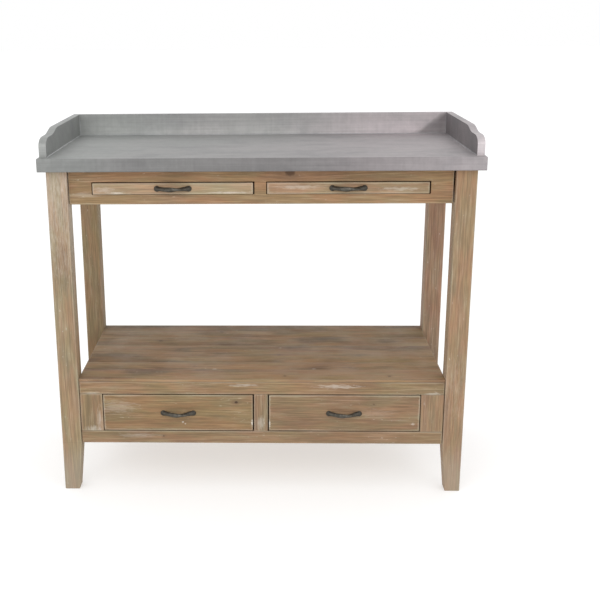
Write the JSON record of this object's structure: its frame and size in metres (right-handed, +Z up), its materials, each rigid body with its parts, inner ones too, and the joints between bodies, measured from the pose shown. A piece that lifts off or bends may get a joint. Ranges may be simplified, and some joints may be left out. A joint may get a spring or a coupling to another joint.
{
  "type": "potting bench",
  "caption": "Wooden potting bench with a zinc-clad tray, raised back and ogee side boards, shallow drawers under the tray and a low shelf over a box of deeper drawers.",
  "frame": {"origin": "on the floor, under the middle of the tray (bottom centre of the bounding box)", "axes": "+X along the bench to its right-hand end as seen from the front, +Y from the front to the back, +Z up"},
  "size_m": [1.066, 0.495, 0.9295],
  "materials": {
    "zinc": "dull weathered zinc sheet, faintly mottled",
    "weathered_wood": "washed and waxed weathered softwood, whitish on its eased edges",
    "limed_wood": "limed softwood, paler than the frame",
    "drawer_wood": "plain sawn softwood, unfinished",
    "bare_core": "bare board under the zinc",
    "aged_bronze": "dark aged casting, rubbed brighter on its high spots"
  },
  "bodies": {
    "bench": {"back_apron": "weathered_wood", "back_board_core": "bare_core", "back_board_zinc": "zinc", "back_left_corner_block": "drawer_wood", "back_left_leg": "weathered_wood", "back_right_corner_block": "drawer_wood", "back_right_leg": "weathered_wood", "box_back_panel": "drawer_wood", "box_bottom_panel": "drawer_wood", "box_bottom_rail": "weathered_wood", "box_top_rail": "weathered_wood", "front_apron": "weathered_wood", "front_left_corner_block": "drawer_wood", "front_left_leg": "weathered_wood", "front_right_corner_block": "drawer_wood", "front_right_leg": "weathered_wood", "left_apron": "weathered_wood", "left_lower_guide": "drawer_wood", "left_side_board_core": "bare_core", "left_side_board_zinc": "zinc", "left_side_panel": "weathered_wood", "left_stile": "weathered_wood", "left_upper_runner": "drawer_wood", "middle_partition": "drawer_wood", "middle_stile": "weathered_wood", "middle_upper_runner": "drawer_wood", "right_apron": "weathered_wood", "right_lower_guide": "drawer_wood", "right_side_board_core": "bare_core", "right_side_board_zinc": "zinc", "right_side_panel": "weathered_wood", "right_stile": "weathered_wood", "right_upper_runner": "drawer_wood", "shelf_board": "weathered_wood", "tray_core": "bare_core", "tray_zinc": "zinc"},
    "upper_left_drawer": {"upper_left_drawer_back": "drawer_wood", "upper_left_drawer_bottom": "drawer_wood", "upper_left_drawer_front": "limed_wood", "upper_left_drawer_left_side": "drawer_wood", "upper_left_drawer_pull": "aged_bronze", "upper_left_drawer_right_side": "drawer_wood"},
    "upper_right_drawer": {"upper_right_drawer_back": "drawer_wood", "upper_right_drawer_bottom": "drawer_wood", "upper_right_drawer_front": "limed_wood", "upper_right_drawer_left_side": "drawer_wood", "upper_right_drawer_pull": "aged_bronze", "upper_right_drawer_right_side": "drawer_wood"},
    "lower_left_drawer": {"lower_left_drawer_back": "drawer_wood", "lower_left_drawer_bottom": "drawer_wood", "lower_left_drawer_front": "weathered_wood", "lower_left_drawer_left_side": "drawer_wood", "lower_left_drawer_pull": "aged_bronze", "lower_left_drawer_right_side": "drawer_wood"},
    "lower_right_drawer": {"lower_right_drawer_back": "drawer_wood", "lower_right_drawer_bottom": "drawer_wood", "lower_right_drawer_front": "weathered_wood", "lower_right_drawer_left_side": "drawer_wood", "lower_right_drawer_pull": "aged_bronze", "lower_right_drawer_right_side": "drawer_wood"}
  },
  "joints": [
    {"name": "upper_left_drawer_slide", "type": "slide", "parent": "bench", "child": "upper_left_drawer", "axis": [0, -1, 0], "range_m": [0, 0.29]},
    {"name": "upper_right_drawer_slide", "type": "slide", "parent": "bench", "child": "upper_right_drawer", "axis": [0, -1, 0], "range_m": [0, 0.29]},
    {"name": "lower_left_drawer_slide", "type": "slide", "parent": "bench", "child": "lower_left_drawer", "axis": [0, -1, 0], "range_m": [0, 0.31]},
    {"name": "lower_right_drawer_slide", "type": "slide", "parent": "bench", "child": "lower_right_drawer", "axis": [0, -1, 0], "range_m": [0, 0.31]}
  ]
}
